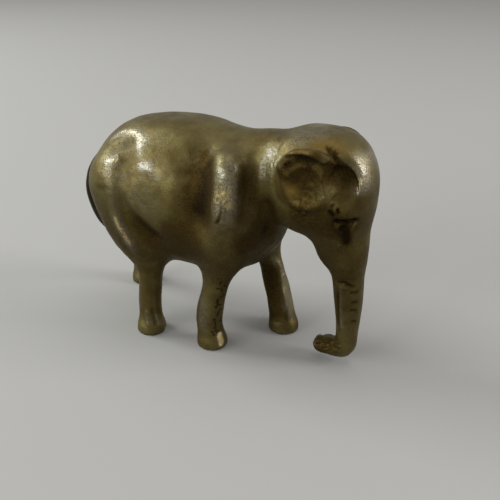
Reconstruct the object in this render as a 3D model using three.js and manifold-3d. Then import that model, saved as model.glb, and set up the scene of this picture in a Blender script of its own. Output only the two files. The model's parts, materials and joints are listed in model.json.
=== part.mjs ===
// A small brass elephant in mid stride, trunk down. It is cast hollow in two halves, which meet on the middle
// plane, and a bent rod let into the rump makes the tail.
// Millimetres. +X is the way it faces, +Y its left, +Z up. The forms are laid out from the point midway
// between the fore feet, and the finished group is set with the middle of its length over the origin.
import * as THREE from "three";
import { mergeVertices } from "three/addons/utils/BufferGeometryUtils.js";
import Module from "manifold-3d";

const { clamp, degToRad, lerp, smoothstep } = THREE.MathUtils;

// Stance: distances between the middles of the feet, and how far a pair of them stands to the right
const WHEELBASE = 31.5;
const FORE_TRACK = 14.6;
const HIND_TRACK = 19.6;
const FORE_STRIDE = 12.3;
const HIND_STRIDE = 17;
const FORE_SIDESTEP = 1;
const HIND_SIDESTEP = 0.5;

// Torso. Heights are above the ground, lengths run from the middles of the hind and of the fore feet
const RUMP_BEHIND = 11.2;
const RUMP_AHEAD = 19;
const RUMP_WIDTH = 24.5;
const RUMP_TOP = 50.6;
const RUMP_BOTTOM = 20;
const RUMP_LEAN = 11;
const BARREL_BEHIND = 3.6;
const BARREL_AHEAD = 5.5;
const BARREL_WIDTH = 29;
const BACK_HEIGHT = 53.7;
const BELLY_HEIGHT = 18.2;
const CHEST_BEHIND = 11;
const CHEST_AHEAD = 10;
const CHEST_WIDTH = 22;
const WITHERS_HEIGHT = 51.4;
const CHEST_BOTTOM = 20.6;
const TORSO_MELT = 6.5;
const TORSO_FULLNESS = 2.2;
const CHEST_FULLNESS = 1.6;

// Neck and head. The reach is that of the forehead
const NECK_BEHIND = 4;
const NECK_IN_HEAD = 8;
const NECK_WIDTH = 17;
const NECK_TOP = 53.2;
const NECK_BOTTOM = 33.5;
const NECK_MELT = 2.5;
const HEAD_REACH = 28.4;
const HEAD_LENGTH = 23;
const HEAD_WIDTH = 19.6;
const HEAD_TOP = 55.5;
const HEAD_BOTTOM = 32.2;
const HEAD_FULLNESS = 2.5;
const HEAD_MELT = 3.5;
const JAW_SETBACK = 5.4;
const JAW_LENGTH = 6.3;
const JAW_WIDTH = 11;
const JAW_TOP = 44.2;
const JAW_BOTTOM = 26;

// Ears, and the hollows of the head. A setback is measured back from the forehead
const EAR_SETBACK = 11;
const EAR_Z = 46;
const EAR_LENGTH = 12.4;
const EAR_HEIGHT = 13.4;
const EAR_THICKNESS = 4.4;
const EAR_SPAN = 20.8;
const EAR_FULLNESS = 2.3;
const EAR_RIM = 2.4;
const EAR_MELT = 1;
const DISH_LENGTH = 11;
const DISH_HEIGHT = 11;
const DISH_DEPTH = 1.4;
const TEMPLE_SETBACK = 3.2;
const TEMPLE_SINK = 0.8;
const TEMPLE_Z = 47.4;
const TEMPLE_LENGTH = 9.6;
const TEMPLE_HEIGHT = 12.4;
const MOUTH_SETBACK = 2.4;
const MOUTH_SINK = 2.6;
const MOUTH_TOP = 39.6;
const MOUTH_LENGTH = 5.6;
const MOUTH_HEIGHT = 8;
const CHEEK_TURN = 36;
const HOLLOW_ROUND = 5;

// Trunk: its thickness from the root down, and the small hook at its end
const TRUNK_ROOT = 10.4;
const TRUNK_MIDDLE = 6.8;
const TRUNK_MIDDLE_Z = 21;
const TRUNK_TIP = 5.2;
const TRUNK_GAP = 1;
const TRUNK_CURL = 5.2;
const TRUNK_SLANT = 0.3;

// Legs: height and thickness of each joint, and the distance between the upper legs
const SHOULDER_Z = 45;
const SHOULDER = 9;
const ELBOW_Z = 32;
const ELBOW = 8.4;
const WRIST_Z = 19;
const WRIST = 6;
const FORE_ANKLE = 6.8;
const HIP_Z = 38;
const HIP = 13;
const THIGH_Z = 28;
const THIGH = 11.4;
const KNEE_Z = 17;
const KNEE = 6.4;
const HIND_ANKLE = 6.2;
const ANKLE_Z = 8;
const LEG_SPREAD = 19;
const LEG_FLATNESS = 0.85;
const LEG_MELT = 5.8;
const FOOT_LENGTH = 6.1;
const FOOT_WIDTH = 6.6;
const FOOT_HEIGHT = 3.2;
const FOOT_FULLNESS = 2.4;
const FOOT_MELT = 2.6;

// Tail
const TAIL_THICKNESS = 3;
const TAIL_END_THICKNESS = 2.2;
const TAIL_ROOT_Z = 40;
const TAIL_END_Z = 19.3;
const TAIL_REACH = 7;
const TAIL_SOCKET = 5;

// Casting
const WALL = 3;
const FIT_GAP = 0.3;

// Facets
const SKIN_CELL = 1.8;
const EAR_CELL = 1.05;
const CORE_CELL = 3;
const TAIL_CELL = 1.1;
const SCOOP_SIDES = 16;

// A form is a soft shape: at(x, y, z) is its distance field in millimetres, below zero inside, and box
// holds it.

// Distance to a rounded oval, good near its surface, from offsets and radii. Fullness 2 is a true ellipse,
// and more is squarer.
function ovalDistance(offsets, radii, fullness) {
  const shares = offsets.map((offset, i) => Math.abs(offset) / radii[i]);
  const k = shares.reduce((sum, share) => sum + share ** fullness, 0) ** (1 / fullness);
  if (k < 1e-6) return -Math.min(...radii);
  const slope = Math.hypot(...shares.map((share, i) => (share / k) ** (fullness - 1) / radii[i]));
  return (k - 1) / slope;
}

// A mass: an oval that fills a box between two corners, leaning nose-up about the box's middle.
function mass(low, high, { lean = 0, fullness = 2 } = {}) {
  const centre = high.map((value, i) => (value + low[i]) / 2);
  const radii = high.map((value, i) => (value - low[i]) / 2);
  const c = Math.cos(degToRad(lean));
  const s = Math.sin(degToRad(lean));
  const box = new THREE.Box3(new THREE.Vector3(...low), new THREE.Vector3(...high));
  if (lean) box.expandByScalar(Math.abs(s) * Math.max(...radii));
  const at = (x, y, z) => {
    const along = x - centre[0];
    const up = z - centre[2];
    return ovalDistance([along * c + up * s, y - centre[1], up * c - along * s], radii, fullness);
  };
  return { at, box };
}

// A limb: stations [x, y, z, thickness, width] joined by a smooth middle line, with an oval section.
function limb(stations, stepsPerSpan = 5) {
  const middles = stations.map(([x, y, z]) => new THREE.Vector3(x, y, z));
  const line = new THREE.CatmullRomCurve3(middles, false, "centripetal");
  const spans = stations.length - 1;
  const dots = [];
  const box = new THREE.Box3();
  for (let i = 0; i <= spans * stepsPerSpan; i++) {
    const place = i / stepsPerSpan;
    const before = Math.min(Math.floor(place), spans - 1);
    const [, , , fromThick, fromWide] = stations[before];
    const [, , , toThick, toWide] = stations[before + 1];
    const share = smoothstep(place - before, 0, 1);
    const thick = lerp(fromThick, toThick, share) / 2;
    const wide = lerp(fromWide, toWide, share) / 2;
    const point = line.getPoint(place / spans);
    dots.push({ point, thick, wide });
    const size = new THREE.Vector3().setScalar(2 * Math.max(thick, wide));
    box.union(new THREE.Box3().setFromCenterAndSize(point, size));
  }
  const at = (x, y, z) => {
    let best = Infinity;
    for (let i = 1; i < dots.length; i++) {
      const a = dots[i - 1];
      const b = dots[i];
      const [dx, dy, dz] = [b.point.x - a.point.x, b.point.y - a.point.y, b.point.z - a.point.z];
      const run = (x - a.point.x) * dx + (y - a.point.y) * dy + (z - a.point.z) * dz;
      const t = clamp(run / (dx * dx + dy * dy + dz * dz), 0, 1);
      const inPlane = Math.hypot(x - a.point.x - dx * t, z - a.point.z - dz * t);
      const aside = y - a.point.y - dy * t;
      const radii = [lerp(a.thick, b.thick, t), lerp(a.wide, b.wide, t)];
      best = Math.min(best, ovalDistance([inPlane, aside], radii, 2));
    }
    return best;
  };
  return { at, box };
}

// How much two distances that lie close together sink into one soft fillet.
function fillet(a, b, width) {
  const overlap = Math.max(width - Math.abs(a - b), 0) / width;
  return (overlap * overlap * width) / 4;
}

// Forms run into one another with soft fillets.
function melt(width, ...forms) {
  const box = new THREE.Box3();
  forms.forEach((form) => box.union(form.box));
  const point = new THREE.Vector3();
  const at = (x, y, z) => {
    let best = Infinity;
    for (const form of forms) {
      if (form.box.distanceToPoint(point.set(x, y, z)) > best + width) continue;
      const value = form.at(x, y, z);
      best = Math.min(best, value) - (best === Infinity ? 0 : fillet(best, value, width));
    }
    return best;
  };
  return { at, box };
}

// A form grown, or shrunk, by a distance all round.
function grown(form, distance) {
  return { at: (x, y, z) => form.at(x, y, z) - distance, box: form.box.clone().expandByScalar(distance) };
}

// Where the grid points round a square are inside and outside by turns, the surface would pinch to an edge of
// four faces. The inside point that is nearer to the surface goes outside, until no such square is left.
function unpinch(field, [nx, ny, nz], step) {
  let pinches = true;
  while (pinches) {
    pinches = false;
    for (let k = 0; k < nz - 1; k++)
      for (let j = 0; j < ny - 1; j++)
        for (let i = 0; i < nx - 1; i++)
          for (let axis = 0; axis < 3; axis++) {
            const here = i * step[0] + j * step[1] + k * step[2];
            const [u, v] = [step[(axis + 1) % 3], step[(axis + 2) % 3]];
            const [a, b, c, d] = [here, here + u, here + u + v, here + v].map((n) => field[n] < 0);
            if (a !== c || b !== d || a === b) continue;
            const insides = a ? [here, here + u + v] : [here + u, here + v];
            const nearer = field[insides[0]] > field[insides[1]] ? insides[0] : insides[1];
            field[nearer] = Math.abs(field[nearer]);
            pinches = true;
          }
  }
}

// The closed surface where a form's field is zero, as quads cut in two: one vertex in each grid cell that the
// surface passes through, drawn onto the surface. The grid is laid out both ways from the form's middle.
function skin(form, cell) {
  const middle = form.box.getCenter(new THREE.Vector3()).toArray();
  const size = form.box.getSize(new THREE.Vector3()).toArray();
  const halfCounts = size.map((value) => Math.ceil(value / 2 / cell) + 2);
  const low = middle.map((value, axis) => value - halfCounts[axis] * cell);
  const [nx, ny, nz] = halfCounts.map((count) => 2 * count + 1);
  const step = [1, nx, nx * ny];
  const field = new Float64Array(nx * ny * nz);
  for (let k = 0, n = 0; k < nz; k++)
    for (let j = 0; j < ny; j++)
      for (let i = 0; i < nx; i++, n++)
        field[n] = form.at(low[0] + i * cell, low[1] + j * cell, low[2] + k * cell);
  unpinch(field, [nx, ny, nz], step);

  const corners = [0, 1, 2, 3, 4, 5, 6, 7].map((n) => [n & 1, (n >> 1) & 1, (n >> 2) & 1]);
  const edges = corners.flatMap((_, n) => [1, 2, 4].filter((bit) => !(n & bit)).map((bit) => [n, n | bit]));
  const cornerSteps = corners.map(([i, j, k]) => i * step[0] + j * step[1] + k * step[2]);
  const positions = [];
  const vertexOf = new Map();
  const index = [];
  for (let k = 1; k < nz - 1; k++)
    for (let j = 1; j < ny - 1; j++)
      for (let i = 1; i < nx - 1; i++) {
        const here = i * step[0] + j * step[1] + k * step[2];
        const values = cornerSteps.map((away) => field[here + away]);
        const crossed = edges.filter(([from, to]) => values[from] < 0 !== values[to] < 0);
        if (!crossed.length) continue;
        const mean = [0, 0, 0];
        for (const [from, to] of crossed) {
          const share = values[from] / (values[from] - values[to]);
          mean.forEach((_, axis) => {
            mean[axis] += lerp(corners[from][axis], corners[to][axis], share) / crossed.length;
          });
        }
        vertexOf.set(here, positions.length / 3);
        const start = [i, j, k].map((count, axis) => low[axis] + (count + mean[axis]) * cell);
        positions.push(...drawnOn(form, start, cell));
        for (let axis = 0; axis < 3; axis++) {
          const inside = field[here] < 0;
          if (inside === field[here + step[axis]] < 0) continue;
          const [u, v] = [step[(axis + 1) % 3], step[(axis + 2) % 3]];
          const ring = [here, here - u, here - u - v, here - v].map((at) => vertexOf.get(at));
          if (!inside) ring.reverse();
          index.push(...cutQuad(ring, positions));
        }
      }
  return new THREE.BufferGeometry()
    .setAttribute("position", new THREE.Float32BufferAttribute(positions, 3))
    .setIndex(index);
}

// A point moved down a form's slope onto its surface, by no more than a share of a cell at a time.
function drawnOn(form, start, cell) {
  const probe = cell / 50;
  const stride = cell / 3;
  const flattest = 0.1;
  const point = [...start];
  for (let pass = 0; pass < 3; pass++) {
    const slope = [0, 1, 2].map((axis) => {
      const ahead = point.map((value, i) => value + (i === axis ? probe : 0));
      const behind = point.map((value, i) => value - (i === axis ? probe : 0));
      return (form.at(...ahead) - form.at(...behind)) / (2 * probe);
    });
    const steepness = Math.max(slope.reduce((sum, value) => sum + value * value, 0), flattest);
    const move = clamp(form.at(...point), -stride, stride) / steepness;
    slope.forEach((value, axis) => {
      point[axis] -= value * move;
    });
  }
  return point;
}

// A quad's two triangles, cut along its shorter diagonal.
function cutQuad([a, b, c, d], positions) {
  const corner = (n) => new THREE.Vector3().fromArray(positions, 3 * n);
  const short = corner(a).distanceTo(corner(c)) < corner(b).distanceTo(corner(d));
  return short ? [a, b, c, a, c, d] : [b, c, d, b, d, a];
}

// Solids: joins and cuts
const wasm = await Module();
wasm.setup();

function solidOf(geometry) {
  const bare = new THREE.BufferGeometry().setAttribute("position", geometry.getAttribute("position"));
  const merged = mergeVertices(bare.setIndex(geometry.index), 1e-4);
  return new wasm.Manifold(
    new wasm.Mesh({
      numProp: 3,
      vertProperties: new Float32Array(merged.getAttribute("position").array),
      triVerts: new Uint32Array(merged.index.array),
    }),
  );
}

function geometryOf(solid) {
  const { vertProperties, triVerts } = solid.getMesh();
  return new THREE.BufferGeometry()
    .setAttribute("position", new THREE.BufferAttribute(vertProperties, 3))
    .setIndex(new THREE.BufferAttribute(triVerts, 1))
    .toNonIndexed();
}

// A box between two corners, for cutting.
function block(low, high) {
  const size = high.map((value, axis) => value - low[axis]);
  const middle = high.map((value, axis) => (value + low[axis]) / 2);
  return solidOf(new THREE.BoxGeometry(...size).translate(...middle));
}

// An oval tool for a hollow: full length, width and height about its centre, turned by some degrees about
// the upright.
function oval(centre, size, turn) {
  const ball = new THREE.SphereGeometry(0.5, SCOOP_SIDES, SCOOP_SIDES / 2);
  return solidOf(ball.scale(...size).rotateZ(degToRad(turn)).translate(...centre));
}

// A tapered tool for a hollow: full length, width and height about its centre, wide above and almost pointed
// below, turned like the oval one.
function wedge(centre, size, turn) {
  const cone = new THREE.CylinderGeometry(0.5, 0.05, 1, SCOOP_SIDES).rotateX(Math.PI / 2);
  return solidOf(cone.scale(...size).rotateZ(degToRad(turn)).translate(...centre));
}

// The forms of the figure
const RUMP_REAR = -WHEELBASE - RUMP_BEHIND;
const HEAD_BACK = HEAD_REACH - HEAD_LENGTH;
const EAR_X = HEAD_REACH - EAR_SETBACK;

function torso() {
  return melt(
    TORSO_MELT,
    mass(
      [-WHEELBASE - BARREL_BEHIND, -BARREL_WIDTH / 2, BELLY_HEIGHT],
      [BARREL_AHEAD, BARREL_WIDTH / 2, BACK_HEIGHT],
      { fullness: TORSO_FULLNESS },
    ),
    mass(
      [RUMP_REAR, -RUMP_WIDTH / 2, RUMP_BOTTOM],
      [-WHEELBASE + RUMP_AHEAD, RUMP_WIDTH / 2, RUMP_TOP],
      { lean: RUMP_LEAN },
    ),
    mass(
      [-CHEST_BEHIND, -CHEST_WIDTH / 2, CHEST_BOTTOM],
      [CHEST_AHEAD, CHEST_WIDTH / 2, WITHERS_HEIGHT],
      { fullness: CHEST_FULLNESS },
    ),
  );
}

function skull() {
  return melt(
    HEAD_MELT,
    mass(
      [HEAD_BACK, -HEAD_WIDTH / 2, HEAD_BOTTOM],
      [HEAD_REACH, HEAD_WIDTH / 2, HEAD_TOP],
      { fullness: HEAD_FULLNESS },
    ),
    mass(
      [-NECK_BEHIND, -NECK_WIDTH / 2, NECK_BOTTOM],
      [HEAD_BACK + NECK_IN_HEAD, NECK_WIDTH / 2, NECK_TOP],
    ),
    mass(
      [HEAD_REACH - JAW_SETBACK - JAW_LENGTH, -JAW_WIDTH / 2, JAW_BOTTOM],
      [HEAD_REACH - JAW_SETBACK, JAW_WIDTH / 2, JAW_TOP],
    ),
  );
}

// The trunk grows out of the face, hangs with its front a little aslant, and hooks back at the end.
function trunk() {
  const front = (thickness, slants) => HEAD_REACH - thickness / 2 - slants * TRUNK_SLANT;
  const tipZ = TRUNK_GAP + TRUNK_TIP / 2;
  const tipX = front(TRUNK_TIP, 4);
  const faceThickness = TRUNK_ROOT * 1.2;
  return limb([
    [front(faceThickness, 1), 0, JAW_TOP, faceThickness, faceThickness],
    [front(TRUNK_ROOT, 0), 0, HEAD_BOTTOM, TRUNK_ROOT, TRUNK_ROOT],
    [front(TRUNK_MIDDLE, 1), 0, TRUNK_MIDDLE_Z, TRUNK_MIDDLE, TRUNK_MIDDLE],
    [front(TRUNK_TIP, 2), 0, tipZ + TRUNK_TIP, TRUNK_TIP, TRUNK_TIP],
    [tipX, 0, tipZ + TRUNK_TIP * 0.15, TRUNK_TIP, TRUNK_TIP],
    [tipX - TRUNK_CURL, 0, tipZ, TRUNK_TIP * 0.85, TRUNK_TIP],
  ]);
}

// One leg, from its hip or shoulder to its foot. A joint has its height, its thickness and its share of the
// way from the hip to the foot. The upper two hang under the body's side, and the lower ones draw in or out.
function leg(side, hipX, footX, footY, joints) {
  const upright = joints[1][0];
  const stations = joints.map(([z, thickness, share]) => {
    const y = lerp(footY, (side * LEG_SPREAD) / 2, Math.min(z / upright, 1));
    return [lerp(hipX, footX, share), y, z, thickness, thickness * LEG_FLATNESS];
  });
  const ankle = joints.at(-1)[1];
  return melt(
    FOOT_MELT,
    limb([...stations, [footX, footY, FOOT_HEIGHT / 3, ankle, ankle * LEG_FLATNESS]]),
    mass(
      [footX - FOOT_LENGTH / 2, footY - FOOT_WIDTH / 2, -FOOT_HEIGHT],
      [footX + FOOT_LENGTH / 2, footY + FOOT_WIDTH / 2, FOOT_HEIGHT],
      { fullness: FOOT_FULLNESS },
    ),
  );
}

// The right fore foot is behind the left one, and the hind feet are the other way about.
function legs() {
  const fore = (side, shares) => {
    const joints = [
      [SHOULDER_Z, SHOULDER, 0],
      [ELBOW_Z, ELBOW, shares[0]],
      [WRIST_Z, WRIST, shares[1]],
      [ANKLE_Z, FORE_ANKLE, shares[2]],
    ];
    const footY = (side * FORE_TRACK) / 2 - FORE_SIDESTEP;
    return leg(side, 0, (side * FORE_STRIDE) / 2, footY, joints);
  };
  const hind = (side, shares) => {
    const joints = [
      [HIP_Z, HIP, 0.15],
      [THIGH_Z, THIGH, shares[0]],
      [KNEE_Z, KNEE, shares[1]],
      [ANKLE_Z, HIND_ANKLE, shares[2]],
    ];
    const footY = (side * HIND_TRACK) / 2 - HIND_SIDESTEP;
    return leg(side, -WHEELBASE, -WHEELBASE - (side * HIND_STRIDE) / 2, footY, joints);
  };
  return [
    fore(-1, [0.2, 0.64, 1.06]),
    fore(1, [-0.1, 0.12, 0.72]),
    hind(-1, [0.46, 1.04, 0.98]),
    hind(1, [0.5, 0.85, 1]),
  ];
}

function figure() {
  const body = melt(LEG_MELT, torso(), ...legs());
  return melt(NECK_MELT, body, melt(HEAD_MELT, skull(), trunk()));
}

// One ear: a thick leaf against the side of the head, with a rolled upper edge that starts behind, runs over
// the top and dives forward into the head. Places on the roll are shares of the ear's length and height, and
// of its rim outwards.
function ear(side) {
  const y = (side * (EAR_SPAN - EAR_THICKNESS)) / 2;
  const leaf = mass(
    [EAR_X - EAR_LENGTH / 2, y - EAR_THICKNESS / 2, EAR_Z - EAR_HEIGHT / 2],
    [EAR_X + EAR_LENGTH / 2, y + EAR_THICKNESS / 2, EAR_Z + EAR_HEIGHT / 2],
    { fullness: EAR_FULLNESS },
  );
  const roll = [
    [-0.42, 0.2, 0.2],
    [-0.25, 0.4, 0.3],
    [0.1, 0.47, 0.3],
    [0.45, 0.34, -0.2],
  ].map(([along, up, out]) => [
    EAR_X + EAR_LENGTH * along,
    y + side * EAR_RIM * out,
    EAR_Z + EAR_HEIGHT * up,
    EAR_RIM,
    EAR_RIM,
  ]);
  return solidOf(skin(melt(EAR_MELT, leaf, limb(roll)), EAR_CELL));
}

// The hollows of one side of the head: the dish of the ear, the temple in front of it, and the corner of the
// mouth. The last two are sunk from the side of the head and turned to face forward with it.
function hollows(side) {
  const dishOut = EAR_SPAN / 2 - DISH_DEPTH + HOLLOW_ROUND / 2;
  const dishZ = EAR_Z - EAR_RIM / 4;
  const templeX = HEAD_REACH - TEMPLE_SETBACK;
  const templeOut = HEAD_WIDTH / 2 - TEMPLE_SINK;
  const mouthX = HEAD_REACH - MOUTH_SETBACK;
  const mouthOut = HEAD_WIDTH / 2 - MOUTH_SINK;
  const mouthZ = MOUTH_TOP - MOUTH_HEIGHT / 2;
  const turn = -side * CHEEK_TURN;
  const dish = oval([EAR_X, side * dishOut, dishZ], [DISH_LENGTH, HOLLOW_ROUND, DISH_HEIGHT], 0);
  const temple = oval(
    [templeX, side * templeOut, TEMPLE_Z],
    [TEMPLE_LENGTH, HOLLOW_ROUND, TEMPLE_HEIGHT],
    turn,
  );
  const mouth = wedge([mouthX, side * mouthOut, mouthZ], [MOUTH_LENGTH, HOLLOW_ROUND, MOUTH_HEIGHT], turn);
  return dish.add(temple).add(mouth);
}

// The tail, from its root inside the rump, in a bow, to its end, which hangs free behind the thighs.
function tail() {
  const rear = RUMP_REAR - TAIL_REACH + TAIL_THICKNESS / 2;
  const drop = TAIL_ROOT_Z - TAIL_END_Z;
  const lean = RUMP_REAR + TAIL_SOCKET - rear;
  return limb(
    [
      [1, 1.05],
      [0.5, 0.98],
      [0.12, 0.74],
      [0, 0.45],
      [0.22, 0.15],
      [0.6, 0],
    ].map(([inward, up], i, { length }) => {
      const thickness = lerp(TAIL_THICKNESS, TAIL_END_THICKNESS, i / (length - 1));
      return [rear + lean * inward, 0, TAIL_END_Z + drop * up, thickness, thickness];
    }),
  );
}

const outer = figure();
const room = outer.box.getSize(new THREE.Vector3()).length();
const core = solidOf(skin(grown(melt(TORSO_MELT, torso(), skull()), -WALL), CORE_CELL));
const tailHole = solidOf(skin(grown(tail(), FIT_GAP), TAIL_CELL));
const whole = solidOf(skin(outer, SKIN_CELL))
  .add(ear(-1))
  .add(ear(1))
  .subtract(hollows(-1))
  .subtract(hollows(1))
  .subtract(block([-room, -room, -room], [room, room, 0]))
  .subtract(core)
  .subtract(tailHole);
const pieces = {
  right_half: geometryOf(whole.intersect(block([-room, -room, -room], [room, 0, room]))),
  left_half: geometryOf(whole.intersect(block([-room, 0, -room], [room, room, room]))),
  tail: skin(tail(), TAIL_CELL).toNonIndexed(),
};

const elephant = new THREE.Group();
for (const [name, geometry] of Object.entries(pieces)) {
  const brass = new THREE.MeshStandardMaterial({ color: 0x7d6a3a, roughness: 0.38, metalness: 1 });
  const mesh = new THREE.Mesh(geometry, brass);
  mesh.name = name;
  elephant.add(mesh);
}
const bounds = new THREE.Box3().setFromObject(elephant);
elephant.position.x = -(bounds.min.x + bounds.max.x) / 2;
export default elephant;
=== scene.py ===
"""Looks of a small cast brass elephant in mid stride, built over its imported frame.

The two cast halves are copied from the frame, smoothed into one skin, given the relief of the real casting
with strokes like a sculptor's, parted again on the middle plane and dressed in worn brass. The tail is a
rod drawn out from a ring. Lengths in the classes are millimetres; the scene is in metres.
"""

import json
import logging
import math
from dataclasses import dataclass, field
from enum import Enum
from functools import partial

import bpy
import numpy as np
from mathutils import Euler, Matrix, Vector
from mathutils.bvhtree import BVHTree
from mathutils.kdtree import KDTree

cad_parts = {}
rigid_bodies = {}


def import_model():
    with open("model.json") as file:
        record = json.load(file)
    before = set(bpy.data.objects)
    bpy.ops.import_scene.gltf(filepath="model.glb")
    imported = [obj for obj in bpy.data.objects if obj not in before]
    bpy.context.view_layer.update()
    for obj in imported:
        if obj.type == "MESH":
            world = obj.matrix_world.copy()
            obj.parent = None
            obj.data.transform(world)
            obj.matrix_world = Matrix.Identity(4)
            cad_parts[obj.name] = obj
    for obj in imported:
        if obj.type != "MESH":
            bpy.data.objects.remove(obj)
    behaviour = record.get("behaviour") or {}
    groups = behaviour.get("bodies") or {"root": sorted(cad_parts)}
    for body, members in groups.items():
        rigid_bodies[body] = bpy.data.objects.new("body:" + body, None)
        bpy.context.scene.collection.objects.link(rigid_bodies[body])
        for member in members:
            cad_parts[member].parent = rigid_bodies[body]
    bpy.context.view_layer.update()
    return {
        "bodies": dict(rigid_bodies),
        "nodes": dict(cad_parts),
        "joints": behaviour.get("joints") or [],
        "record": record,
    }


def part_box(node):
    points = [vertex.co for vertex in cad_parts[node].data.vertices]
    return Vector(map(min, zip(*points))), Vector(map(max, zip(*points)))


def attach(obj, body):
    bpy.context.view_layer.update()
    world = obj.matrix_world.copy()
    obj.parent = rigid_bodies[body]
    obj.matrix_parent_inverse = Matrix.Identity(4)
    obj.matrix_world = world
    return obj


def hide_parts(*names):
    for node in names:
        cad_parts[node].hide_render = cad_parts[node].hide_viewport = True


Colour = tuple[float, float, float]
Point = tuple[float, float, float]
Pixel = tuple[float, float]
Path = tuple[Pixel, ...]
Span = tuple[float, float]
Ramp = tuple[float, ...]

MM = 0.001
PICTURE = 500
MIDDLE: Point = (0, 0, 28)
BODY = "root"
LOG = logging.getLogger("elephant")


def deselect() -> None:
    """Leaves nothing selected and nothing active."""
    bpy.ops.object.select_all(action="DESELECT")
    bpy.context.view_layer.objects.active = None


def pick(*objects: bpy.types.Object) -> None:
    """Selects only these objects and makes the first one active.

    Args:
        objects: what to select.
    """
    deselect()
    for thing in objects:
        thing.select_set(True)
    bpy.context.view_layer.objects.active = objects[0]


def edit(mode: str) -> None:
    """Goes into or out of edit mode: "EDIT" or "OBJECT"."""
    bpy.ops.object.mode_set(mode=mode)


def put(name: str, data: bpy.types.ID) -> bpy.types.Object:
    """Adds an object to the scene.

    Args:
        name: its name.
        data: its mesh, lamp or camera.

    Returns:
        The object.
    """
    thing = bpy.data.objects.new(name, data)
    bpy.context.scene.collection.objects.link(thing)
    return thing


def apply_modifier(thing: bpy.types.Object, kind: str, **settings: object) -> None:
    """Adds one modifier and applies it.

    Args:
        thing: the object to change.
        kind: the modifier's type.
        settings: its properties.
    """
    pick(thing)
    modifier = thing.modifiers.new(kind.lower(), kind)
    for key, value in settings.items():
        setattr(modifier, key, value)
    bpy.ops.object.modifier_apply(modifier=modifier.name)


def read(items: object, name: str, width: int = 3, kind: type = float) -> np.ndarray:
    """One property of all the vertices, edges, corners or faces of a mesh.

    Args:
        items: the mesh's list of them.
        name: the property.
        width: how many numbers it has.
        kind: what numbers they are.

    Returns:
        One row for each item.
    """
    numbers = np.empty(len(items) * width, kind)
    items.foreach_get(name, numbers)
    return numbers.reshape(-1, width)


def coordinates(mesh: bpy.types.Mesh) -> np.ndarray:
    """The mesh's vertices in millimetres, one row each."""
    return read(mesh.vertices, "co") / MM


def directions(mesh: bpy.types.Mesh) -> np.ndarray:
    """The mesh's vertex normals, one row each."""
    return read(mesh.vertex_normals, "vector")


def face_data(mesh: bpy.types.Mesh) -> tuple[np.ndarray, np.ndarray]:
    """The centres, in millimetres, and the normals of the mesh's faces."""
    return read(mesh.polygons, "center") / MM, read(mesh.polygons, "normal")


def choose_faces(mesh: bpy.types.Mesh, chosen: np.ndarray) -> None:
    """Selects these faces of a mesh and nothing else of it.

    Args:
        mesh: the mesh, in object mode.
        chosen: True for each face to select.
    """
    mesh.vertices.foreach_set("select", np.zeros(len(mesh.vertices), bool))
    mesh.edges.foreach_set("select", np.zeros(len(mesh.edges), bool))
    mesh.polygons.foreach_set("select", chosen)


def soft(value: np.ndarray, low: float, high: float) -> np.ndarray:
    """An eased step.

    Args:
        value: what to ease.
        low: where the step starts.
        high: where it ends.

    Returns:
        Shares from 0 at low to 1 at high.
    """
    share = np.clip((value - low) / (high - low), 0, 1)
    return share * share * (3 - 2 * share)


def hang(thing: bpy.types.Object, node: str) -> None:
    """Lets a finished piece stand for its node of the frame.

    Args:
        thing: the piece.
        node: the node that it replaces.
    """
    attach(thing, BODY)
    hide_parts(node)
    LOG.info("piece %s: %d faces, stands for %s", thing.name, len(thing.data.polygons), node)


@dataclass(frozen=True)
class Viewpoint:
    """Where the photograph was taken from, its lens, and how near and far is drawn, in metres."""

    place: Point = (75.27, -117.8, 92.0)
    tilt: float = 63.0
    turn: float = 29.0
    lens: float = 46.08
    sensor: float = 36.0
    nearest: float = 0.005
    farthest: float = 20.0

    def attitude(self) -> Euler:
        """The camera's rotation."""
        return Euler((math.radians(self.tilt), 0, math.radians(self.turn)))

    def ray(self, pixel: Pixel) -> tuple[Vector, Vector]:
        """The line of sight through a pixel of the photograph.

        Args:
            pixel: across from the left and down from the top.

        Returns:
            Where it starts and its direction, in metres.
        """
        scale = self.sensor / PICTURE / self.lens
        across = (pixel[0] - PICTURE / 2) * scale
        down = (pixel[1] - PICTURE / 2) * scale
        direction = self.attitude().to_matrix() @ Vector((across, -down, -1))
        return Vector(self.place) * MM, direction.normalized()

    def make(self) -> None:
        """Adds the camera and gives it to the scene."""
        data = bpy.data.cameras.new("viewpoint")
        data.sensor_width = self.sensor
        data.lens = self.lens
        data.clip_start, data.clip_end = self.nearest, self.farthest
        camera = put("viewpoint", data)
        camera.location = Vector(self.place) * MM
        camera.rotation_euler = self.attitude()
        bpy.context.scene.camera = camera


# Sculpting


class Tool(Enum):
    """How a stroke moves the skin."""

    BEAD = "a rounded ridge or groove along the path"
    STEP = "a ledge: the right-hand side of the path goes down and fades out"
    FILE = "a flat, filed off along the path"
    GRAIN = "a rough, uneven patch"


@dataclass(frozen=True)
class Stroke:
    """One stroke over the skin, laid along marks that are read off the photograph.

    Width is how far it reaches to either side. Height is outwards, or inwards where it is below zero, and
    for a flat it is how far over the marks the file stops. Edge is the width of a ledge's or a flat's border,
    and how far apart a grain's bumps are. Growth is what width and height are multiplied by at the path's
    start and end, and taper the shares of its length over which it comes in and dies out; without one the
    end is round. The three marks say how much darker the skin gets, from dirt and patina and from painted
    shade; how much brighter, from rubbed wear and from painted highlights; and how much browner. Facing is
    the way a flat looks. Twin is the share of the stroke that is laid on the other side too.
    """

    tool: Tool
    path: Path
    width: float
    height: float
    edge: float = 0.35
    growth: Span = (1.0, 1.0)
    taper: Span = (0.25, 0.25)
    grime: float = 0.0
    shine: float = 0.0
    warmth: float = 0.0
    facing: Point = (0.0, -1.0, 0.0)
    twin: float = 1.0
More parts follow.
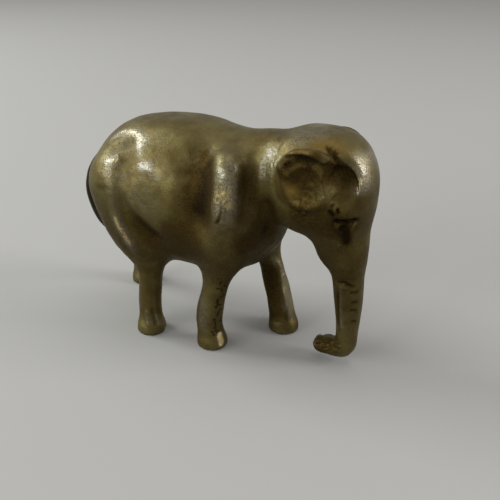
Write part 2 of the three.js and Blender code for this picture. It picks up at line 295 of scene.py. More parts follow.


# one stroke of each kind; a recolouring leaves the shape alone and only changes how the skin looks, with real dirt,
# patina and browning, and also painted shade and painted highlights
bead = partial(Stroke, Tool.BEAD)
ledge = partial(Stroke, Tool.STEP)
filed = partial(Stroke, Tool.FILE)
grain = partial(Stroke, Tool.GRAIN)
recolour = partial(Stroke, Tool.GRAIN, height=0.0)


def eased_line(points: np.ndarray, pieces: int = 6) -> np.ndarray:
    """A smooth line through points.

    Args:
        points: at least two rows.
        pieces: how many parts each span is cut in.

    Returns:
        More rows, along a smooth curve through the same points.
    """
    if len(points) < 3:
        return points
    padded = np.vstack([2 * points[0] - points[1], points, 2 * points[-1] - points[-2]])
    rows = []
    for i in range(1, len(padded) - 2):
        a, b, c, d = padded[i - 1 : i + 3]
        for t in np.arange(pieces) / pieces:
            rows.append(
                0.5 * (2 * b + (c - a) * t + (2 * a - 5 * b + 4 * c - d) * t**2 + (3 * b - 3 * c + d - a) * t**3)
            )
    return np.vstack([*rows, padded[-2]])


class Unevenness:
    """Smooth random heights in space, the same on each run."""

    def __init__(self, seed: int, cells: int = 24) -> None:
        """Fills the lattice.

        Args:
            seed: starts the random numbers.
            cells: how many heights there are along each axis before they repeat.
        """
        self.cells = cells
        self.heights = np.random.default_rng(seed).uniform(-1, 1, (cells, cells, cells))

    def at(self, points: np.ndarray, wave: float) -> np.ndarray:
        """Heights from -1 to 1.

        Args:
            points: rows of x, y and z.
            wave: how far apart the lattice's heights lie.

        Returns:
            One height for each row.
        """
        place = points / wave
        low = np.floor(place).astype(int)
        share = place - low
        share = share * share * (3 - 2 * share)
        total = np.zeros(len(points))
        for corner in np.ndindex(2, 2, 2):
            index = (low + corner) % self.cells
            weight = np.prod(np.where(corner, share, 1 - share), axis=1)
            total += weight * self.heights[index[:, 0], index[:, 1], index[:, 2]]
        return total


@dataclass(frozen=True)
class WeatheringAndShade:
    """How the skin ages and is shaded by its shape: grimy in hollows, darkened below as painted shade, bright on
    ridges and above.

    The pairs are where each effect starts and is full: by depth or height over the evened skin, by how far
    the skin looks down or up, and, for its underside, by its height over the soles.
    """

    evening: int = 30
    hollow: Span = (0.04, 0.3)
    hollow_grime: float = 0.6
    downward: Span = (-0.35, 0.4)
    underside: Span = (8.0, 24.0)
    underside_grime: float = 0.75
    most_grime: float = 1.9
    ridge: Span = (0.05, 0.4)
    ridge_shine: float = 0.25
    upward: Span = (-0.05, 0.75)
    upward_shine: float = 0.03


class Skin:
    """A mesh that strokes are laid on, with how dark it is from dirt and painted shade, how bright from wear and
    painted highlights, and how brown, at each vertex.
    """

    ledge_crest = 0.15
    finer_grain = 0.5

    def __init__(self, thing: bpy.types.Object, eye: Viewpoint) -> None:
        """Reads the mesh.

        Args:
            thing: the object to sculpt.
            eye: the viewpoint that the strokes' marks are seen from.
        """
        self.thing = thing
        self.eye = eye
        self.points = coordinates(thing.data)
        self.normals = directions(thing.data)
        self.edges = read(thing.data.edges, "vertices", 2, int)
        self.grime, self.shine, self.warmth = np.zeros((3, len(self.points)))
        self.tree = BVHTree.FromObject(thing, bpy.context.evaluated_depsgraph_get())
        self.roughness = Unevenness(seed=11)

    def mark(self, pixel: Pixel) -> tuple[np.ndarray, np.ndarray]:
        """The place on the skin that a pixel of the photograph shows.

        Args:
            pixel: across and down.

        Returns:
            The point in millimetres and the normal there.
        """
        start, direction = self.eye.ray(pixel)
        point, normal, _, _ = self.tree.ray_cast(start, direction)
        if point is None:
            near = start + direction * (Vector(MIDDLE) * MM - start).dot(direction)
            point, normal, _, _ = self.tree.find_nearest(near)
        return np.array(point) / MM, np.array(normal)

    def averaged(self, values: np.ndarray, passes: int) -> np.ndarray:
        """Values evened out between neighbours.

        Args:
            values: one row for each vertex.
            passes: how often.

        Returns:
            The evened values.
        """
        a, b = self.edges.T
        count = np.bincount(self.edges.ravel(), minlength=len(values))[:, None]
        result = values.reshape(len(values), -1).copy()
        for _ in range(passes):
            total = np.empty_like(result)
            for column in range(result.shape[1]):
                of_b = np.bincount(a, result[b, column], len(values))
                of_a = np.bincount(b, result[a, column], len(values))
                total[:, column] = of_a + of_b
            result = 0.5 * result + 0.5 * total / count
        return result.reshape(values.shape)

    def lay(self, stroke: Stroke) -> None:
        """Lays a stroke on the side that the photograph shows, and on the other side if it has a twin.

        Args:
            stroke: what to lay.
        """
        marks = [self.mark(pixel) for pixel in stroke.path]
        line = eased_line(np.array([point for point, _ in marks]))
        outward = eased_line(np.array([normal for _, normal in marks]))
        facing = np.array(stroke.facing) / np.linalg.norm(stroke.facing)
        self._press(stroke, line, outward, facing, 1, 1.0)
        if stroke.twin:
            other = np.array([1, -1, 1])
            self._press(stroke, line * other, outward * other, facing * other, -1, stroke.twin)

    def _press(
        self, stroke: Stroke, line: np.ndarray, outward: np.ndarray, facing: np.ndarray, hand: int, force: float
    ) -> None:
        """Moves the vertices near a line.

        Args:
            stroke: the stroke.
            line: its smooth line on the skin.
            outward: the skin's normals along it.
            facing: the direction of a filed flat.
            hand: 1, or -1 on the mirrored side.
            force: how much of the stroke's height is laid.
        """
        reach = stroke.width * max(stroke.growth) + stroke.edge
        close = np.all((self.points > line.min(0) - reach) & (self.points < line.max(0) + reach), axis=1)
        index = np.nonzero(close)[0]
        points = self.points[index]
        nearest = np.full(len(index), np.inf)
        along, aside = np.zeros((2, len(index)))
        foot = np.zeros((len(index), 3))
        lengths = np.linalg.norm(np.diff(line, axis=0), axis=1)
        starts = np.concatenate([[0], np.cumsum(lengths)])
        for i, length in enumerate(lengths):
            tangent = (line[i + 1] - line[i]) / max(length, 1e-6)
            run = np.clip((points - line[i]) @ tangent, 0, length)
            on_line = line[i] + run[:, None] * tangent
            distance = np.linalg.norm(points - on_line, axis=1)
            better = distance < nearest
            nearest[better] = distance[better]
            along[better] = (starts[i] + run[better]) / starts[-1]
            foot[better] = on_line[better]
            left = np.cross(outward[i], tangent) * hand
            aside[better] = ((points - on_line) @ left)[better]
        size = np.interp(along, [0, 1], stroke.growth)
        ends = np.ones(len(index))
        for run, taper in ((along, stroke.taper[0]), (1 - along, stroke.taper[1])):
            if taper:
                ends *= soft(run, 0, taper)
        width = stroke.width * size
        share = np.clip(1 - (nearest / width) ** 2, 0, None) ** 2 * ends
        normal = self.normals[index]
        if stroke.tool is Tool.BEAD:
            move = normal * (stroke.height * size * share)[:, None]
        elif stroke.tool is Tool.STEP:
            share = soft(-np.sign(aside) * nearest, -stroke.edge / 2, stroke.edge / 2) * ends
            share = share * (1 - soft(nearest, self.ledge_crest * stroke.width, stroke.width))
            move = normal * (stroke.height * size * share)[:, None]
        elif stroke.tool is Tool.FILE:
            over = np.clip((points - foot) @ facing - stroke.height, 0, None)
            share = soft(width - nearest, 0, stroke.edge) * ends
            move = -facing * (over * share)[:, None]
        else:
            rough = self.roughness.at(points, stroke.edge)
            rough = rough + self.finer_grain * self.roughness.at(points, stroke.edge / 2)
            move = normal * (stroke.height * rough * share)[:, None]
        self.points[index] += move * force
        self.grime[index] += stroke.grime * share
        self.shine[index] += stroke.shine * share
        self.warmth[index] += stroke.warmth * share

    def regain(self, before: np.ndarray, passes: int) -> None:
        """Takes back what smoothing drew in, on the whole and not facet by facet.

        Args:
            before: the points before they were smoothed.
            passes: how widely it is evened out.
        """
        drawn_in = np.sum((before - self.points) * self.normals, axis=1)
        self.points += self.normals * self.averaged(drawn_in, passes)[:, None]

    def loosen(self, waves: tuple[Span, ...]) -> None:
        """Gives the whole skin the slight unevenness of a casting.

        Args:
            waves: pairs of wave length and height, in millimetres.
        """
        for wave, height in waves:
            self.points += self.normals * (self.roughness.at(self.points, wave) * height)[:, None]

    def finish(self, low: np.ndarray, high: np.ndarray, age: WeatheringAndShade) -> None:
        """Writes the shape back, inside a box, with its layers of dirt and painted shade, of wear and painted
        highlights, and of browning.

        Args:
            low: the box's lowest corner.
            high: the box's highest corner.
            age: how it wears and takes painted shade by its shape.
        """
        depth = np.sum((self.averaged(self.points, age.evening) - self.points) * self.normals, axis=1)
        tilt = self.normals[:, 2]
        # painted shade: the skin that looks down, low on the figure, is darkened
        under = soft(-tilt, *age.downward) * soft(self.points[:, 2], *age.underside)
        grime = self.grime + soft(depth, *age.hollow) * age.hollow_grime + age.underside_grime * under
        shine = self.shine + soft(-depth, *age.ridge) * age.ridge_shine + age.upward_shine * soft(tilt, *age.upward)
        self.points = np.clip(self.points, low, high)
        mesh = self.thing.data
        mesh.vertices.foreach_set("co", (self.points * MM).ravel())
        wear = {"grime": (grime, age.most_grime), "shine": (shine, 1), "warmth": (self.warmth, 1)}
        for name, (values, most) in wear.items():
            layer = mesh.attributes.new(name, "FLOAT", "POINT")
            layer.data.foreach_set("value", self.averaged(np.clip(values, 0, most), 2).astype(np.float32))
        mesh.update()


# Finishes


class Nodes:
    """A tree of shader nodes, laid down with few words."""

    def __init__(self, tree: bpy.types.NodeTree) -> None:
        """Empties the tree."""
        self.tree = tree
        tree.nodes.clear()

    def add(self, kind: str, **settings: object) -> bpy.types.Node:
        """Adds a node.

        Args:
            kind: its type.
            settings: its properties.

        Returns:
            The node.
        """
        node = self.tree.nodes.new(kind)
        for key, value in settings.items():
            setattr(node, key, value)
        return node

    def join(self, source: object, socket: bpy.types.NodeSocket) -> None:
        """Feeds a socket from another socket, or sets it to a plain value.

        Args:
            source: a socket, a number or a colour.
            socket: what it goes into.
        """
        if isinstance(source, bpy.types.NodeSocket):
            self.tree.links.new(source, socket)
        elif isinstance(source, (int, float)):
            socket.default_value = source
        else:
            socket.default_value = (*source, 1.0)[: len(socket.default_value)]

    def sum(self, operation: str, *values: object, clamp: bool = False) -> bpy.types.NodeSocket:
        """A calculation.

        Args:
            operation: the Math node's operation.
            values: sockets or numbers.
            clamp: keeps the result from 0 to 1.

        Returns:
            The result's socket.
        """
        node = self.add("ShaderNodeMath", operation=operation, use_clamp=clamp)
        for value, socket in zip(values, node.inputs):
            self.join(value, socket)
        return node.outputs[0]


class Sheet(Nodes):
    """The nodes of a material."""

    def __init__(self, name: str) -> None:
        """Starts a material with this name."""
        self.material = bpy.data.materials.new(name)
        self.material.use_nodes = True
        super().__init__(self.material.node_tree)
        self.shader = self.add("ShaderNodeBsdfPrincipled")
        output = self.add("ShaderNodeOutputMaterial")
        self.join(self.shader.outputs["BSDF"], output.inputs["Surface"])

    def feed(self, looks: dict[str, object]) -> bpy.types.Material:
        """Feeds the shader.

        Args:
            looks: for the name of each socket, another socket, a number or a colour.

        Returns:
            The finished material.
        """
        for name, source in looks.items():
            self.join(source, self.shader.inputs[name])
        return self.material

    def blend(self, share: object, first: object, second: object) -> bpy.types.NodeSocket:
        """A mix of two colours.

        Args:
            share: how much there is of the second.
            first: a colour or a socket.
            second: a colour or a socket.

        Returns:
            The mixed colour's socket.
        """
        node = self.add("ShaderNodeMix", data_type="RGBA")
        self.join(share, node.inputs["Factor"])
        self.join(first, node.inputs[6])
        self.join(second, node.inputs[7])
        return node.outputs[2]

    def spread(self, value: object, *ramp: float) -> bpy.types.NodeSocket:
        """An eased range.

        Args:
            value: the socket to spread.
            ramp: where the range starts and ends, and the results there if they aren't 0 and 1.

        Returns:
            The result's socket.
        """
        node = self.add("ShaderNodeMapRange", interpolation_type="SMOOTHSTEP")
        for entry, socket in zip((value, *ramp), node.inputs):
            self.join(entry, socket)
        return node.outputs[0]

    def place(self, scale: Point = (1.0, 1.0, 1.0), turn: Point = (0.0, 0.0, 0.0)) -> bpy.types.NodeSocket:
        """The piece's own coordinates, counted in millimetres.

        Args:
            scale: stretches the pattern by its inverse.
            turn: degrees about each axis.

        Returns:
            The vector's socket.
        """
        source = self.add("ShaderNodeTexCoord")
        node = self.add("ShaderNodeMapping")
        node.inputs["Scale"].default_value = [value / MM for value in scale]
        node.inputs["Rotation"].default_value = [math.radians(value) for value in turn]
        self.join(source.outputs["Object"], node.inputs["Vector"])
        return node.outputs["Vector"]

    def noise(self, place: object, wave: float, detail: float, roughness: float) -> bpy.types.NodeSocket:
        """Cloudy noise.

        Args:
            place: the coordinates' socket.
            wave: its size in millimetres.
            detail: how many finer layers it has.
            roughness: how strong they are.

        Returns:
            The value's socket.
        """
        node = self.add("ShaderNodeTexNoise")
        for entry, name in ((place, "Vector"), (1 / wave, "Scale"), (detail, "Detail"), (roughness, "Roughness")):
            self.join(entry, node.inputs[name])
        return node.outputs["Fac"]

    def dots(self, place: object, wave: float) -> bpy.types.NodeSocket:
        """The distance from scattered dots.

        Args:
            place: the coordinates' socket.
            wave: how far apart they are, in millimetres.

        Returns:
            The distance's socket, as a share of the spacing.
        """
        node = self.add("ShaderNodeTexVoronoi")
        self.join(place, node.inputs["Vector"])
        self.join(1 / wave, node.inputs["Scale"])
        return node.outputs["Distance"]

    def layer(self, name: str) -> bpy.types.NodeSocket:
        """A number that the mesh carries at each vertex."""
        return self.add("ShaderNodeAttribute", attribute_name=name).outputs["Fac"]

    def bump(self, height: object, size: Span, below: object = None) -> bpy.types.NodeSocket:
        """Fine relief.

        Args:
            height: the relief's socket.
            size: its height in millimetres, and how much of it shows.
            below: the normal of a coarser relief.

        Returns:
            The normal's socket.
        """
        node = self.add("ShaderNodeBump")
        self.join(size[1], node.inputs["Strength"])
        self.join(size[0] * MM, node.inputs["Distance"])
        self.join(height, node.inputs["Height"])
        if below is not None:
            self.join(below, node.inputs["Normal"])
        return node.outputs["Normal"]


@dataclass(frozen=True)
class WornBrass:
    """Old cast brass: a brown patina, almost black in the hollows, with a pale satin film where the casting is
    uncovered and bare yellow metal where it is rubbed through. Its darkening is dirt and patina and also
    painted shade; its film and bare metal are wear and also painted highlights.

    A noise is given by its wave, detail and roughness, a relief by its height and strength, and the other
    ranges by where they start and end, and the results there if they aren't 0 and 1.
    """

    name: str = "worn cast brass"
    metal: Colour = (0.150, 0.122, 0.041)
    patina: Colour = (0.092, 0.065, 0.016)
    bronzed: Colour = (0.168, 0.107, 0.024)
    brown: Colour = (0.058, 0.037, 0.009)
    darkest: Colour = (0.014, 0.008, 0.003)
    bare: Colour = (0.78, 0.62, 0.29)
    clouds: Ramp = (8.0, 3.0, 0.5)
    blotches: Ramp = (2.2, 4.0, 0.6)
    grains: Ramp = (0.35, 3.0, 0.6)
    scratches: Ramp = (1.0, 3.0, 0.7)
    scratch_scale: Point = (0.25, 2.2, 2.2)
    scratch_turn: Point = (0, 35, 20)
    pore_spacing: float = 0.75
    ageing: Span = (0.55, 0.95)
    ageing_blotches: float = 0.5
    grime_gaps: Ramp = (0.25, 0.7, 0.85, 1.0)
    darkest_specks: Ramp = (0.42, 0.62, 0.0, 0.45)
    deepest_darkening: Ramp = (1.15, 1.9, 0.0, 0.75)
    pore_rims: Ramp = (0.08, 0.2, 1.0, 0.0)
    pore_groups: Span = (0.42, 0.58)
    pore_darkness: float = 0.75
    warm_gaps: Ramp = (0.3, 0.6, 0.6, 1.0)
    warm_cover: float = 0.5
    film_gain: float = 1.3
    film_least: float = 0.04
    film_gaps: Ramp = (0.82, 1.12, 0.2, 1.0)
    film_pores: float = 0.7
    film_index: float = 2.8
    film_roughness: float = 0.27
    rubbed_through: Span = (1.2, 2.0)
    rubbed_blotches: float = 0.8
    rubbed_grains: float = 0.7
    metallic: float = 0.98
    mottling: Span = (0.7, 1.3)
    roughness: Span = (0.43, 0.55)
    grime_roughness: float = 0.12
    bare_smoothness: float = 0.15
    blotch_relief: Span = (0.08, 0.3)
    scratch_relief: Span = (0.02, 0.4)
    grain_relief: Span = (0.07, 0.9)

    def make(self) -> bpy.types.Material:
        """Builds the material.

        Returns:
            The material.
        """
        sheet = Sheet(self.name)
        place = sheet.place()
        cloud = sheet.noise(place, *self.clouds)
        blotch = sheet.noise(place, *self.blotches)
        fine = sheet.noise(place, *self.grains)
        pores = sheet.dots(place, self.pore_spacing)
        scuffs = sheet.noise(sheet.place(self.scratch_scale, self.scratch_turn), *self.scratches)
        grime, shine, warmth = (sheet.layer(name) for name in ("grime", "shine", "warmth"))

        aged = sheet.sum("ADD", cloud, sheet.sum("MULTIPLY", blotch, self.ageing_blotches))
        # the darkening layer: dirt and patina, and also painted shade
        grimed = sheet.sum("MULTIPLY", grime, sheet.spread(blotch, *self.grime_gaps), clamp=True)
        darkened_most = sheet.sum("MULTIPLY", grimed, sheet.spread(fine, *self.darkest_specks))
        darkened_most = sheet.sum("ADD", darkened_most, sheet.spread(grime, *self.deepest_darkening), clamp=True)
        pored = sheet.sum("MULTIPLY", sheet.spread(pores, *self.pore_rims), sheet.spread(fine, *self.pore_groups))
        covered = sheet.sum("ADD", grimed, sheet.sum("MULTIPLY", warmth, self.warm_cover))
        # the satin film follows the brightening layer: rubbed wear, and also a painted sheen where highlights are
        # laid
        film_and_sheen = sheet.sum("MULTIPLY_ADD", shine, self.film_gain, self.film_least, clamp=True)
        film_and_sheen = sheet.sum("MULTIPLY", film_and_sheen, sheet.sum("SUBTRACT", 1.0, covered, clamp=True))
        film_and_sheen = sheet.sum("MULTIPLY", film_and_sheen, sheet.spread(sheet.sum("ADD", fine, scuffs), *self.film_gaps))
        # bare metal where the brightening layer runs high: rubbed spots, and also painted glints
        worn = sheet.sum("MULTIPLY_ADD", fine, self.rubbed_grains, shine)
        bared_and_glint = sheet.spread(sheet.sum("MULTIPLY_ADD", blotch, self.rubbed_blotches, worn), *self.rubbed_through)

        colour = sheet.blend(sheet.spread(aged, *self.ageing), self.metal, self.patina)
        warmed = sheet.sum("MULTIPLY", warmth, sheet.spread(blotch, *self.warm_gaps))
        holes = sheet.sum("MULTIPLY", pored, self.pore_darkness)
        # brown and the darkest colour stand for dirt and for painted shade, the bare colour for wear and for painted
        # glints
        for share, layer in (
            (warmed, self.bronzed),
            (grimed, self.brown),
            (darkened_most, self.darkest),
            (holes, self.darkest),
            (bared_and_glint, self.bare),
        ):
            colour = sheet.blend(share, colour, layer)

        roughness = sheet.spread(sheet.sum("ADD", blotch, scuffs), *self.mottling, *self.roughness)
        roughness = sheet.sum("ADD", roughness, sheet.sum("MULTIPLY", grimed, self.grime_roughness))
        smoothed = sheet.sum("MULTIPLY", bared_and_glint, self.bare_smoothness)
        film = sheet.sum("SUBTRACT", film_and_sheen, bared_and_glint)
        relief = sheet.bump(blotch, self.blotch_relief)
        relief = sheet.bump(scuffs, self.scratch_relief, relief)
        relief = sheet.bump(sheet.sum("SUBTRACT", fine, pored), self.grain_relief, relief)
        return sheet.feed({
            "Base Color": colour,
            "Roughness": sheet.sum("SUBTRACT", roughness, smoothed, clamp=True),
            "Metallic": self.metallic,
            "Coat Weight": sheet.sum("SUBTRACT", film, sheet.sum("MULTIPLY", pored, self.film_pores), clamp=True),
            "Coat IOR": self.film_index,
            "Coat Roughness": self.film_roughness,
            "Normal": relief,
            "Coat Normal": relief,
        })


@dataclass(frozen=True)
class DrawnBrass:
    """The tail's rod: darker, browner brass with fine lines along it, its values given as above."""

    name: str = "drawn brass rod"
    metal: Colour = (0.030, 0.023, 0.010)
    tarnish: Colour = (0.022, 0.015, 0.006)
    speck: Colour = (0.03, 0.02, 0.012)
    clouds: Ramp = (2.6, 4.0, 0.6)
    grains: Ramp = (0.4, 3.0, 0.6)
    lines: Ramp = (1.0, 3.0, 0.6)
    line_scale: Point = (4.0, 4.0, 0.35)
    line_share: float = 0.4
    tarnishing: Span = (0.5, 0.95)
    specks: Ramp = (0.56, 0.7, 0.0, 0.6)
    roughness: Ramp = (0.3, 0.7, 0.33, 0.5)
    metallic: float = 0.9
    film: float = 0.06
    film_roughness: float = 0.25
    line_relief: Span = (0.04, 0.4)
    grain_relief: Span = (0.03, 0.5)

    def make(self) -> bpy.types.Material:
        """Builds the material.

        Returns:
            The material.
        """
        sheet = Sheet(self.name)
        place = sheet.place()
        cloud = sheet.noise(place, *self.clouds)
        fine = sheet.noise(place, *self.grains)
        lines = sheet.noise(sheet.place(self.line_scale), *self.lines)
        tarnished = sheet.sum("ADD", cloud, sheet.sum("MULTIPLY", lines, self.line_share))
        colour = sheet.blend(sheet.spread(tarnished, *self.tarnishing), self.metal, self.tarnish)
        return sheet.feed({
            "Base Color": sheet.blend(sheet.spread(fine, *self.specks), colour, self.speck),
            "Roughness": sheet.spread(cloud, *self.roughness),
            "Metallic": self.metallic,
            "Coat Weight": self.film,
            "Coat Roughness": self.film_roughness,
            "Normal": sheet.bump(fine, self.grain_relief, sheet.bump(lines, self.line_relief)),
        })


# The object's pieces


@dataclass
class TailRod:
    """The bent rod that makes the tail: let into the rump above, its end free below."""

    stations: Path = ((-27.5, 41.0), (-32.8, 39.6), (-36.8, 34.6), (-38.0, 28.6), (-35.7, 22.4), (-31.7, 19.3))
    root: float = 3.0
    end: float = 2.2
    sides: int = 20
    steps: int = 8
    end_round: float = 0.12
    wave: float = 2.4
    wave_height: float = 0.06
    shrink: float = 0.05
    play: float = 0.25

    def middle_line(self) -> np.ndarray:
        """The rod's middle line as rows of x and z, close together."""
        return eased_line(np.array(self.stations), self.steps)

    def build(self) -> bpy.types.Object:
        """Draws the rod out from a ring, one extrusion after another.

        Returns:
            The rod, without its finish.
        """
        line = self.middle_line()
        headings = np.arctan2(*np.gradient(line, axis=0).T[::-1])
        deselect()
        bpy.ops.mesh.primitive_circle_add(
            vertices=self.sides,
            radius=self.root / 2 * MM,
            fill_type="NGON",
            location=(line[0][0] * MM, 0, line[0][1] * MM),
            rotation=(0, math.pi / 2 - headings[0] + math.pi, 0),
        )
        rod = bpy.context.object
        rod.name = "tail_rod"
        bpy.ops.object.transform_apply()
        edit("EDIT")
        bpy.ops.mesh.select_mode(type="FACE")
        bpy.ops.mesh.select_all(action="SELECT")
        thickness = np.linspace(self.root, self.end, len(line))
        for i in range(1, len(line)):
            move = line[i] - line[i - 1]
            centre = (line[i][0] * MM, 0, line[i][1] * MM)
            bpy.ops.mesh.extrude_region_move(
                TRANSFORM_OT_translate={"value": (move[0] * MM, 0, move[1] * MM)}
            )
            bpy.ops.transform.rotate(
                value=headings[i] - headings[i - 1], orient_axis="Y", center_override=centre
            )
            ratio = thickness[i] / thickness[i - 1]
            bpy.ops.transform.resize(value=(ratio, ratio, ratio), center_override=centre)
        bpy.ops.mesh.inset(thickness=self.end * self.end_round * MM)
        bpy.ops.mesh.select_all(action="SELECT")
        bpy.ops.mesh.normals_make_consistent(inside=False)
        edit("OBJECT")
        apply_modifier(rod, "SUBSURF", levels=2, render_levels=2)
        return rod

    def dress(self, rod: bpy.types.Object, finish: bpy.types.Material) -> None:
        """Gives the rod a hand-bent unevenness and its finish.

        Args:
            rod: the rod.
            finish: its material.
        """
        points = coordinates(rod.data)
        rough = Unevenness(seed=5).at(points, self.wave) * self.wave_height - self.shrink
        points += directions(rod.data) * rough[:, None]
        low, high = (np.array(corner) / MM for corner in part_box("tail"))
        points = np.clip(points, low, high)
        rod.data.vertices.foreach_set("co", (points * MM).ravel())
        rod.data.update()
        rod.data.materials.append(finish)
        pick(rod)
        bpy.ops.object.shade_smooth()
        hang(rod, "tail")

    def cutter(self, rod: bpy.types.Object) -> bpy.types.Object:
        """A slightly thicker copy of the rod, for cutting its socket.

        Args:
            rod: the rod.

        Returns:
            The cutting tool.
        """
        tool = put("socket", rod.data.copy())
        apply_modifier(tool, "DISPLACE", strength=self.play * MM, mid_level=0.0)
        return tool


@dataclass(frozen=True)
class ChiselMarks:
    """Short chance cuts beside a line, as a small chisel leaves them.

    The band is the line's marks, from the top down. The pairs are the least and the most of how far a cut is
    off the line, its slope, half its length and its width; all but the last are in pixels.
    """

    band: Path
    count: int
    seed: int = 3
    scatter: tuple[Pixel, Pixel] = ((-4.5, -1.2), (3.2, 1.2))
    slope: Span = (-0.9, 0.1)
    half: Span = (0.6, 1.3)
    width: Span = (0.36, 0.5)
    depth: float = 0.34

    def strokes(self) -> tuple[Stroke, ...]:
        """The cuts' strokes, from the top down."""
        chance = np.random.default_rng(self.seed)
        line = eased_line(np.array(self.band))
        cuts = []
        for i in range(self.count):
            spot = line[round((len(line) - 1) * (i + 0.5) / self.count)]
            middle = spot + chance.uniform(*self.scatter)
            half = np.array((1.0, chance.uniform(*self.slope))) * chance.uniform(*self.half)
            path = (tuple(middle - half), tuple(middle + half))
            cuts.append(bead(path, chance.uniform(*self.width), -self.depth, taper=(0.05, 0.3), grime=1.1))
        return tuple(cuts)


EAR_AND_FACE = (
    # the rolled upper edge of the ear, thin behind and lobed in front, browned by patina and darkened as painted
    # shade
    bead(((281, 156), (286, 153), (293, 151), (301, 150.5), (310, 152), (318, 154.5), (325, 157.5)), 2.6, 0.05,
         growth=(0.6, 1.3), taper=(0.4, 0.15), grime=0.35, warmth=0.9, twin=0.2),
    recolour(((306, 146), (322, 146), (336, 148), (350, 156)), 3.6, warmth=0.7),
    # the ledge under it and round the lobe, then the temple's, with painted shade under the lip, in the temple and
    # below it
    ledge(((282, 158), (287, 155.5), (296, 154.5), (307.4, 157), (317, 162), (323, 165), (328, 163), (331, 157),
           (333, 154)), 6.0, -0.9, edge=0.45, taper=(0.22, 0.1), grime=0.6),
    ledge(((331, 157), (334, 153.5), (340, 157.5), (346, 163), (351.5, 168.5), (356, 175), (358.5, 183),
           (358.5, 192), (357, 200)), 6.5, -0.9, edge=0.45, taper=(0.1, 0.3), grime=0.5, twin=0.2),
    recolour(((352, 192), (348, 204), (342, 213)), 4.0, grime=0.35),
    bead(((290, 157.5), (300, 159), (310, 163), (318, 168)), 2.2, -0.5, grime=0.6),
    bead(((337, 162), (345, 168), (350, 177), (351, 187)), 2.8, -0.6, grime=0.2),
    # the ear's hollow leaf, with a swelling behind; its dark patches are patina and painted shade, the swelling is
    # lightened, and a painted glint runs up the rear rim
    bead(((288, 168), (292, 178), (295, 189), (293, 200)), 2.2, 0.5),
    grain(((289, 174), (293, 186), (294, 200)), 2.6, 0.08, edge=0.5, warmth=1.0, grime=-0.45),
    bead(((304, 168), (306, 184), (303, 200)), 3.2, -0.3, grime=0.25),
    bead(((277, 164), (274.5, 172), (274, 182), (276, 193), (280, 201), (288, 208)), 0.9, -0.1, grime=0.25),
    grain(((282, 163), (285, 173), (290, 178)), 2.6, 0.04, edge=0.6, taper=(0, 0), grime=0.8),
    grain(((287, 164), (297, 163), (307, 166)), 2.2, 0.04, edge=0.6, taper=(0, 0), grime=0.6),
    grain(((297, 202), (306, 205), (315, 200)), 3.2, 0.08, edge=0.7, grime=0.3),
    recolour(((330, 168), (332, 178), (331, 188)), 2.8, grime=0.25),
    bead(((274.5, 169), (275.5, 163), (279, 158.5), (282, 156.5)), 0.42, 0.18, shine=0.55),
    grain(((282, 172), (290, 190), (296, 206)), 5.5, 0.05, edge=1.1, grime=0.15, warmth=0.4),
    grain(((306, 170), (310, 188), (308, 206), (300, 214)), 4.4, 0.13, edge=0.55, grime=0.35),
    # the temple, with painted shade in it and a painted highlight along its crisp rim, dark scratches in the notch,
    # painted highlights on the forehead and the top of the head, and painted shade on the lobe
    recolour(((336, 164), (343, 174), (344, 190), (338, 202)), 4.2, grime=0.3),
    bead(((346, 161.5), (352, 167.5), (357, 174.5), (359.8, 183), (359.5, 192), (358, 198)), 0.5, 0.16, shine=0.25),
    bead(((325.5, 145), (329, 150), (333, 156)), 0.6, -0.45, taper=(0.4, 0.1), grime=1.2, twin=0.0),
    bead(((330, 146.5), (333, 151), (337, 156)), 0.5, -0.35, grime=1.2, twin=0.0),
    bead(((334, 149.5), (336.5, 152.5), (340, 156)), 0.45, -0.25, grime=1.2, twin=0.0),
    bead(((327, 192), (333, 199)), 2.6, 0.3),
    recolour(((360, 146), (366, 164), (366, 182), (365, 200)), 4.0, shine=0.6),
    recolour(((286, 142), (306, 133), (332, 129)), 4.5, shine=0.3),
    recolour(((316, 158), (323, 161.5), (329, 161)), 2.2, taper=(0, 0), grime=0.8),
    # the cheek and the pits of the eye and the mouth, darkened by dirt and painted shade, with a painted glint in
    # the mouth
    grain(((284, 214), (300, 217), (318, 222), (334, 230), (342, 242)), 6.5, 0.12, edge=0.6, grime=0.4, warmth=0.5),
    bead(((330, 206), (335, 207)), 0.7, -0.3, grime=1.0),
    bead(((338, 210), (338.5, 213)), 0.6, -0.5, taper=(0, 0), grime=1.6),
    bead(((330, 212), (333.5, 216)), 0.65, -0.55, taper=(0, 0), grime=1.6),
    bead(((333, 218), (338, 219.5), (346, 219.5), (352, 218.5), (356, 217)), 1.0, -0.4, taper=(0.15, 0.15),
         grime=1.1),
    ledge(((355, 220), (351, 227), (350.5, 237), (350.5, 245), (347.5, 250.5)), 2.6, -0.4, edge=0.8,
          taper=(0.2, 0.1), grime=0.4),
    grain(((336, 223), (343, 226), (351, 223)), 2.8, 0.05, edge=0.8, taper=(0, 0), grime=0.6),
    bead(((341, 224), (344, 232), (346.5, 240), (347.5, 247)), 2.0, -0.5, growth=(1.0, 0.5), taper=(0.2, 0.1),
         grime=0.7),
    grain(((341, 224), (345, 236), (347, 246)), 2.2, 0.14, edge=0.6, taper=(0.1, 0.1), grime=0.6),
    bead(((339.5, 244.5), (340.5, 245.5)), 0.4, 0.2, taper=(0, 0), shine=0.9),
    grain(((287, 211), (295, 213), (303, 216), (309, 219)), 2.6, 0.2, edge=0.6, grime=0.4),
)

